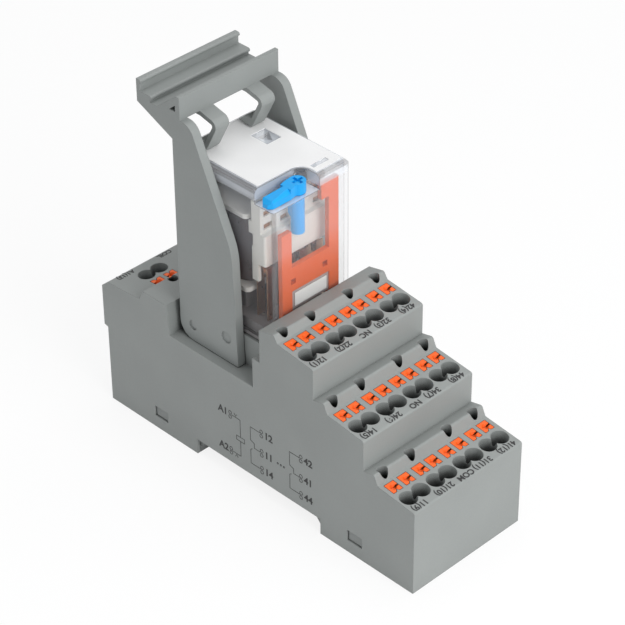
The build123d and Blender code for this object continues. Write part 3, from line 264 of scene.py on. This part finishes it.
def moulded(name, colour, roughness=0.5, grain=2600.0, spread=0.04, soft=0.0002, hole_shade=False):
    """Moulded plastic: fine spark-eroded grain, faint tone drift and softened edges."""
    material = bpy.data.materials.new(name)
    tree, shader = node_group(material)
    where = coordinates(tree)
    drift = noise(tree, where, 60.0, 2.0)
    dark = tuple(c * (1 - spread) for c in colour)
    light = tuple(min(1.0, c * (1 + spread)) for c in colour)
    tone = tinted(tree, drift, dark, light)
    # Painted shade: the tone darkens down hollows and gaps
    if hole_shade:
        tone = painted_cavity_shade(tree, tone)
    tree.links.new(tone, shader.inputs["Base Color"])
    fine = noise(tree, where, grain, 4.0)
    tree.links.new(ramp(tree, fine, roughness - 0.06, roughness + 0.06), shader.inputs["Roughness"])
    tree.links.new(bump(tree, fine, 0.00003, 0.35, soft), shader.inputs["Normal"])
    shader.inputs["Specular IOR Level"].default_value = 0.4
    return material


def metal(name, colour, roughness=0.35, grain=900.0):
    """Stamped metal with fine drawn lines."""
    material = bpy.data.materials.new(name)
    tree, shader = node_group(material)
    where = coordinates(tree)
    lines = noise(tree, where, grain, 5.0)
    dark = tuple(c * 0.82 for c in colour)
    tree.links.new(tinted(tree, lines, dark, colour), shader.inputs["Base Color"])
    tree.links.new(ramp(tree, lines, roughness - 0.08, roughness + 0.1), shader.inputs["Roughness"])
    tree.links.new(bump(tree, lines, 0.00002, 0.3, 0.00008), shader.inputs["Normal"])
    shader.inputs["Metallic"].default_value = 1.0
    return material


def edge_mask(tree, radius, sharpness=0.12):
    """Rises from 0 on flats to 1 within a radius of an edge."""
    edge = tree.nodes.new("ShaderNodeBevel")
    edge.samples = 8
    edge.inputs["Radius"].default_value = radius
    face = tree.nodes.new("ShaderNodeNewGeometry")
    meet = tree.nodes.new("ShaderNodeVectorMath")
    meet.operation = "DOT_PRODUCT"
    tree.links.new(edge.outputs["Normal"], meet.inputs[0])
    tree.links.new(face.outputs["Normal"], meet.inputs[1])
    return mapped(tree, meet.outputs["Value"], 1.0, 1.0 - sharpness)


def turned_mask(tree, facing):
    """1 on bevels and rounded corners, 0 on faces square to the axes."""
    size = tree.nodes.new("ShaderNodeVectorMath")
    size.operation = "ABSOLUTE"
    tree.links.new(facing, size.inputs[0])
    parts = split(tree, size.outputs["Vector"])
    return mapped(tree, maximum(tree, parts["X"], parts["Y"], parts["Z"]), *SQUARE_TO_TURNED)


def scaled_mask(tree, mask, level):
    """A mask that tops out at a level."""
    return mapped(tree, mask, 0.0, 1.0, high=level)


def clear_plastic(name):
    """Clear polycarbonate with painted reflection: more opaque where it is seen at a shallow angle,
    lighter and bluish on its top and upper wall, and grey along its edges in painted refraction.
    """
    material = bpy.data.materials.new(name)
    tree, shader = node_group(material)
    where = coordinates(tree)
    height = split(tree, where)["Z"]
    facing = tree.nodes.new("ShaderNodeTexCoord").outputs["Normal"]
    graze = tree.nodes.new("ShaderNodeLayerWeight")
    graze.inputs["Blend"].default_value = CASE_BLEND
    # Painted reflection: more opaque where the wall is seen at a shallow angle
    wall = mapped(tree, graze.outputs["Facing"], CASE_BLEND, 1.0, CASE_VEIL, CASE_GRAZE_REFLECTION_VEIL)
    # Painted refraction: edges and rounded corners turn more opaque and grey
    edges = edge_mask(tree, CASE_EDGE_RADIUS)
    turned = turned_mask(tree, facing)
    # Painted reflection: the top and upper wall turn lighter and bluish
    upward = mapped(tree, split(tree, facing)["Z"], *UPWARD_SPAN)
    upper_reflection = mapped(tree, height, *UPPER_REFLECTION_HEIGHTS)
    rim = mapped(tree, height, *RIM_HEIGHTS)
    veils = (
        (edges, CASE_EDGE_REFRACTION_VEIL),
        (turned, CASE_TURNED_REFRACTION_VEIL),
        (upward, CASE_TOP_REFLECTION_VEIL),
        (upper_reflection, CASE_UPPER_REFLECTION_VEIL),
        (rim, CASE_RIM_VEIL),
    )
    alpha = maximum(tree, wall, *(scaled_mask(tree, mask, level) for mask, level in veils))
    tree.links.new(alpha, shader.inputs["Alpha"])
    # Painted reflection tone on the top and upper wall
    tone = mixed(tree, maximum(tree, upward, upper_reflection), CASE_TONE, CASE_TOP_REFLECTION_TONE)
    # Painted refraction tone on edges and rounded corners
    tone = mixed(tree, maximum(tree, edges, turned), tone, CASE_EDGE_REFRACTION_TONE)
    tree.links.new(tone, shader.inputs["Base Color"])
    flow = noise(tree, where, 160.0, 2.0)
    tree.links.new(ramp(tree, flow, 0.04, 0.1), shader.inputs["Roughness"])
    tree.links.new(bump(tree, flow, 0.0001, 0.15, 0.0002), shader.inputs["Normal"])
    shader.inputs["Specular IOR Level"].default_value = 0.8
    return material


def wound(name, colour, turn=0.00022):
    """Varnished fine wire wound in level turns, with painted shade darker in the groove between turns."""
    material = bpy.data.materials.new(name)
    tree, shader = node_group(material)
    where = coordinates(tree)
    wave = tree.nodes.new("ShaderNodeTexWave")
    wave.bands_direction = "Z"
    wave.inputs["Scale"].default_value = 0.314 / turn
    wave.inputs["Distortion"].default_value = 0.6
    wave.inputs["Detail"].default_value = 2.0
    tree.links.new(where, wave.inputs["Vector"])
    # Painted shade: each turn darkens towards the grooves beside it
    dark = tuple(c * 0.45 for c in colour)
    tree.links.new(tinted(tree, wave.outputs["Fac"], dark, colour), shader.inputs["Base Color"])
    tree.links.new(bump(tree, wave.outputs["Fac"], 0.0001, 0.8), shader.inputs["Normal"])
    tree.links.new(ramp(tree, noise(tree, where, 500.0), 0.25, 0.45), shader.inputs["Roughness"])
    return material


def bordered_plate(name):
    """White pad on a greyer carrier sheet, told apart by how far forward they stand."""
    material = bpy.data.materials.new(name)
    tree, shader = node_group(material)
    where = coordinates(tree)
    front = PAD_FRONT_X * MM
    forward = mapped(tree, split(tree, where)["X"], front - PAD_EDGE[0], front - PAD_EDGE[1])
    tree.links.new(mixed(tree, forward, SHEET_TONE, PAD_TONE), shader.inputs["Base Color"])
    fine = noise(tree, where, 3000.0, 4.0)
    tree.links.new(ramp(tree, fine, 0.34, 0.46), shader.inputs["Roughness"])
    tree.links.new(bump(tree, fine, 0.00002, 0.3, 0.0001), shader.inputs["Normal"])
    return material


def build_materials():
    """One finished material for each slot of the record."""
    return {
        "housing": moulded("grey housing", (0.265, 0.280, 0.273), hole_shade=True),
        "cover": moulded("grey cover", (0.225, 0.238, 0.233), hole_shade=True),
        "clip": moulded("grey clip", (0.250, 0.266, 0.260), roughness=0.46),
        "button": moulded("orange button", (0.87, 0.125, 0.012), roughness=0.42, soft=0.00012, hole_shade=True),
        "copper_alloy": metal("copper alloy", (0.72, 0.42, 0.24)),
        "spring_steel": metal("spring steel", (0.62, 0.61, 0.58), 0.3),
        "clear_case": clear_plastic("clear case"),
        "label": moulded("white label", (0.80, 0.80, 0.80), roughness=0.38, grain=4000.0, soft=0.00005),
        "relay_base": moulded("dark base", (0.20, 0.19, 0.19), roughness=0.4),
        "tinned": metal("tinned blade", (0.68, 0.67, 0.64), 0.28),
        "bobbin": moulded("bobbin", (0.72, 0.70, 0.66), roughness=0.5),
        "winding": wound("winding", (0.075, 0.02, 0.012)),
        "iron": metal("soft iron", (0.36, 0.35, 0.34), 0.42),
        "carrier": moulded("carrier", (0.70, 0.68, 0.63), roughness=0.48),
        "contact_spring": metal("contact spring", (0.55, 0.32, 0.2), 0.35),
        "frame": moulded("orange frame", (0.74, 0.115, 0.014), roughness=0.45),
        "white_plate": bordered_plate("white plate"),
        "lever": moulded("blue lever", (0.001, 0.34, 0.78), roughness=0.34, soft=0.00015),
    }


def dress(materials):
    """Give every carried-over node the material of its slot."""
    for row in frame["record"]["subparts"]:
        for slot in frame["nodes"][row["node"]].material_slots:
            slot.material = materials[row["material_slot"]]


def ink():
    """Black pad-printed ink with a slightly uneven edge to its gloss."""
    material = bpy.data.materials.new("print ink")
    tree, shader = node_group(material)
    where = coordinates(tree)
    uneven = noise(tree, where, 1500.0, 3.0)
    tree.links.new(tinted(tree, uneven, *INK_TONES), shader.inputs["Base Color"])
    tree.links.new(ramp(tree, uneven, 0.4, 0.6), shader.inputs["Roughness"])
    return material


def tier_matrix(tier, local_x, y):
    """Place on a tier's sloping plate: text reads from the relay's side, in metres."""
    slope = radians(TIER_SLOPE)
    step_x = FRONT_X - tier * TIER_PITCH - PLATE_LENGTH
    step_z = LOWEST_TIER + tier * TIER_RISE + PLATE_LENGTH * tan(slope)
    down = Vector((cos(slope), 0, -sin(slope)))
    normal = Vector((sin(slope), 0, cos(slope)))
    at = Vector((step_x, y, step_z)) + down * local_x + normal * PRINT_LIFT
    return text_matrix(at * MM, Vector((0, -1, 0)), down, normal)


def coil_matrix(local_x, y):
    """Place on the coil terminals' plate, reading the same way as the tiers."""
    slope = radians(COIL_SLOPE)
    up = Vector((cos(slope), 0, sin(slope)))
    normal = Vector((-sin(slope), 0, cos(slope)))
    at = Vector((COIL_STEP_X, y, COIL_PLATE_HEIGHT)) - up * local_x + normal * PRINT_LIFT
    return text_matrix(at * MM, Vector((0, -1, 0)), up, normal)


def side_matrix(x, z):
    """Place on the near side of the socket, in metres."""
    at = Vector((x, SIDE_Y - PRINT_LIFT, z))
    return text_matrix(at * MM, Vector((1, 0, 0)), Vector((0, 0, 1)), Vector((0, -1, 0)))


def text_matrix(at, right, up, normal):
    """Matrix from an origin and three directions."""
    matrix = Matrix((right, up, normal)).transposed().to_4x4()
    matrix.translation = at
    return matrix


def print_text(name, words, size_mm, matrix, material):
    """Flat printed words on a face."""
    curve = bpy.data.curves.new(name, "FONT")
    curve.body = words
    curve.size = size_mm * MM
    curve.align_x = "CENTER"
    curve.align_y = "CENTER"
    curve.extrude = 0.00001
    curve.offset = PRINT_WEIGHT * MM
    piece = bpy.data.objects.new(name, curve)
    piece.matrix_world = matrix
    bpy.context.collection.objects.link(piece)
    curve.materials.append(material)
    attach(piece, "socket")


def terminal_prints(material):
    """Terminal numbers beside the wire entries, generic for this kind of relay."""
    rows = [
        ("com", ["11(9)", "21(10)", "31(11)", "41(12)"]),
        ("no", ["14(5)", "24(6)", "34(7)", "44(8)"]),
        ("nc", ["12(1)", "22(2)", "32(3)", "42(4)"]),
    ]
    for tier, (row, numbers) in enumerate(rows):
        for pole, words in enumerate(numbers):
            y = (pole - MIDDLE_POLE) * POLE_PITCH + PRINT_SHIFTS[pole]
            place = tier_matrix(tier, PRINT_FROM_STEP, y)
            print_text(f"print_{row}_{pole + 1}", words, PRINT_SIZE, place, material)
        place = tier_matrix(tier, PRINT_FROM_STEP + NAME_SHIFT, 0)
        print_text(f"print_{row}_name", row.upper(), PRINT_SIZE, place, material)


def coil_prints(material):
    """Terminal numbers behind the coil's wire entries."""
    for number, (words, y) in enumerate(COIL_PRINTS, start=1):
        place = coil_matrix(COIL_PRINT_FROM_STEP, y)
        print_text(f"print_coil_{number}", words, COIL_PRINT_SIZE, place, material)


def print_line(name, runs, material):
    """Fine printed lines through runs of points on the near side."""
    curve = bpy.data.curves.new(name, "CURVE")
    curve.dimensions = "3D"
    curve.bevel_depth = DIAGRAM_LINE * MM
    curve.bevel_resolution = 0
    curve.use_fill_caps = True
    for points in runs:
        spline = curve.splines.new("POLY")
        spline.points.add(len(points) - 1)
        for knot, (x, z) in zip(spline.points, points):
            knot.co = (x * MM, SIDE_Y * MM, z * MM, 1)
    piece = bpy.data.objects.new(name, curve)
    bpy.context.collection.objects.link(piece)
    curve.materials.append(material)
    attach(piece, "socket")


def ring(x, z, radius=PAIR_RADIUS, steps=16):
    """Closed run of points round a terminal symbol."""
    turns = [2 * pi * step / steps for step in range(steps + 1)]
    return [(x + radius * cos(turn), z + radius * sin(turn)) for turn in turns]


def wiring_diagram(material):
    """Coil and changeover contacts drawn on the near side, with their terminal numbers."""
    half_x, half_z = (side / 2 for side in COIL_SYMBOL)
    x = COIL_COLUMN_X
    left = x - COIL_LEAD
    box_left, box_right = x - half_x, x + half_x
    box_low, box_high = LEAD_MIDDLE - half_z, LEAD_MIDDLE + half_z
    corners = [(box_left, box_low), (box_right, box_low), (box_right, box_high), (box_left, box_high)]
    runs = [
        [(left, LEAD_TOP), (x, LEAD_TOP), (x, box_high)],
        [(x, box_low), (x, LEAD_BOTTOM), (left, LEAD_BOTTOM)],
        corners + corners[:1],
    ]
    for z, side in ((LEAD_TOP, 1), (LEAD_BOTTOM, -1)):
        runs.append([(x + along, z + rise * side) for along, rise in ARROW])
    labels = [("A1", left - COIL_LABEL_GAP, LEAD_TOP), ("A2", left - COIL_LABEL_GAP, LEAD_BOTTOM)]
    pairs = [(left - PAIR_RADIUS, LEAD_TOP), (left - PAIR_RADIUS, LEAD_BOTTOM)]
    for x, numbers in CHANGEOVERS:
        right = x + CONTACT_LEAD
        bend = x + CONTACT_BEND
        foot = (bend, LEAD_MIDDLE + ARM_FOOT)
        toe = [(x + along, LEAD_MIDDLE + rise) for along, rise in TOE]
        runs += [
            [(right, LEAD_TOP), (x, LEAD_TOP), (x, LEAD_MIDDLE + ARM_TOP), foot],
            [foot, (bend, LEAD_MIDDLE), (right, LEAD_MIDDLE)],
            toe + [(x, LEAD_BOTTOM), (right, LEAD_BOTTOM)],
        ]
        for words, z in zip(numbers, (LEAD_TOP, LEAD_MIDDLE, LEAD_BOTTOM)):
            labels.append((words, right + CONTACT_LABEL_GAP, z))
            pairs.append((right + PAIR_RADIUS, z))
    for x, z in pairs:
        runs += [ring(x, z + PAIR_RISE - PAIR_DROP), ring(x, z - PAIR_RISE - PAIR_DROP)]
    runs += [ring(DOTS_X + DOT_PITCH * dot, LEAD_MIDDLE, radius=DOT_RADIUS, steps=8) for dot in range(3)]
    print_line("print_diagram", runs, material)
    for words, x, z in labels:
        print_text(f"print_{words}", words, DIAGRAM_SIZE, side_matrix(x, z), material)


def add_camera():
    """Camera at the photograph's viewpoint."""
    a = radians(CAMERA_AZIMUTH)
    e = radians(CAMERA_ELEVATION)
    r = radians(CAMERA_ROLL)
    back = Vector((sin(a) * cos(e), -cos(a) * cos(e), sin(e)))
    level_right = Vector((cos(a), sin(a), 0))
    level_up = back.cross(level_right)
    right = cos(r) * level_right + sin(r) * level_up
    up = -sin(r) * level_right + cos(r) * level_up
    lens = bpy.data.cameras.new("camera")
    lens.sensor_width = SENSOR_MM
    lens.lens = FOCAL_PIXELS / PHOTO_WIDTH * SENSOR_MM
    lens.clip_start = 0.01
    camera = bpy.data.objects.new("camera", lens)
    camera.matrix_world = text_matrix(Vector(CAMERA_AT), right, up, back)
    bpy.context.collection.objects.link(camera)
    bpy.context.scene.camera = camera


def area_light(name, at, aim, size, power):
    """Square softbox aimed at a point."""
    lamp = bpy.data.lights.new(name, "AREA")
    lamp.shape = "SQUARE"
    lamp.size = size
    lamp.energy = power
    light = bpy.data.objects.new(name, lamp)
    light.location = at
    light.rotation_euler = (Vector(aim) - Vector(at)).to_track_quat("-Z", "Y").to_euler()
    bpy.context.collection.objects.link(light)


def white_to_camera(tree, level):
    """Factor that is at a level for camera, glossy and transmission rays, and 0 for the rest."""
    path = tree.nodes.new("ShaderNodeLightPath").outputs
    seen = maximum(tree, path["Is Camera Ray"], path["Is Glossy Ray"], path["Is Transmission Ray"])
    return scaled_mask(tree, seen, level)


def add_stage():
    """Pale floor, white surroundings and soft studio lights."""
    world = bpy.data.worlds.new("studio")
    bpy.context.scene.world = world
    world.use_nodes = True
    tree = world.node_tree
    tree.nodes.clear()
    output = tree.nodes.new("ShaderNodeOutputWorld")
    mix = tree.nodes.new("ShaderNodeMixShader")
    ambient = tree.nodes.new("ShaderNodeBackground")
    white = tree.nodes.new("ShaderNodeBackground")
    ambient.inputs["Strength"].default_value = WORLD_LEVEL
    ambient.inputs["Color"].default_value = (*WORLD_TONE, 1.0)
    white.inputs["Strength"].default_value = 1.0
    white.inputs["Color"].default_value = (1.0, 1.0, 1.0, 1.0)
    tree.links.new(white_to_camera(tree, 1.0), mix.inputs["Fac"])
    tree.links.new(ambient.outputs[0], mix.inputs[1])
    tree.links.new(white.outputs[0], mix.inputs[2])
    tree.links.new(mix.outputs[0], output.inputs["Surface"])

    half = FLOOR_HALF
    corners = [(-half, -half, 0), (half, -half, 0), (half, half, 0), (-half, half, 0)]
    mesh = bpy.data.meshes.new("floor")
    mesh.from_pydata(corners, [], [(0, 1, 2, 3)])
    floor = bpy.data.objects.new("floor", mesh)
    bpy.context.collection.objects.link(floor)
    material = bpy.data.materials.new("pale floor")
    material.use_nodes = True
    tree = material.node_tree
    tree.nodes.clear()
    output = tree.nodes.new("ShaderNodeOutputMaterial")
    mix = tree.nodes.new("ShaderNodeMixShader")
    paper = tree.nodes.new("ShaderNodeBsdfDiffuse")
    paper.inputs["Color"].default_value = (*FLOOR_TONE, 1.0)
    glow = tree.nodes.new("ShaderNodeEmission")
    tree.links.new(white_to_camera(tree, FLOOR_VEIL), mix.inputs["Fac"])
    tree.links.new(paper.outputs[0], mix.inputs[1])
    tree.links.new(glow.outputs[0], mix.inputs[2])
    tree.links.new(mix.outputs[0], output.inputs["Surface"])
    mesh.materials.append(material)

    for name, at, size, power in LAMPS:
        area_light(name, at, LAMPS_AIM, size, power)


bpy.context.scene.view_settings.view_transform = "Standard"
add_camera()
add_stage()
dress(build_materials())
printing = ink()
terminal_prints(printing)
coil_prints(printing)
wiring_diagram(printing)
